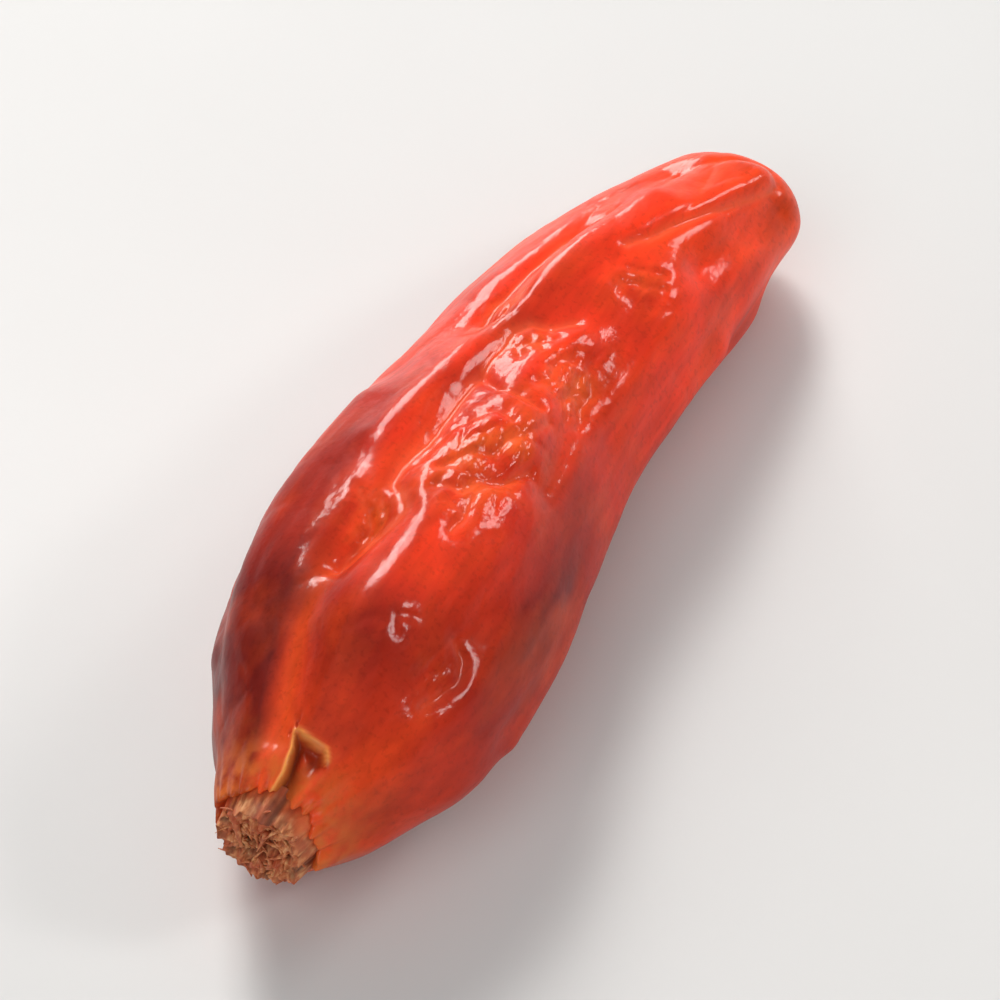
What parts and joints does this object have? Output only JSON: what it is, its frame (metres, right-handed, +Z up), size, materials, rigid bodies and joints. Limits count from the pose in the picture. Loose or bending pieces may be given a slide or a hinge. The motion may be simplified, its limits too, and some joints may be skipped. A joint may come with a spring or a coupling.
{
  "type": "dried chilli pepper",
  "caption": "Whole dried chilli pod, wrinkled and tapering to a blunt tip, lying on its flattened belly, with a torn calyx remnant at the stem end.",
  "frame": {"origin": "on the surface the pod lies on, under the middle of its box", "axes": "+X along the pod from the stem end to the tip, +Y to the side the pod bows towards, +Z up"},
  "size_m": [0.032, 0.0098, 0.0081],
  "materials": {
    "pod_skin": "glossy wrinkled dried skin",
    "calyx_fibre": "dry, matt, torn fibres"
  },
  "bodies": {
    "root": {"pod": "pod_skin", "calyx_remnant": "calyx_fibre"}
  },
  "joints": []
}
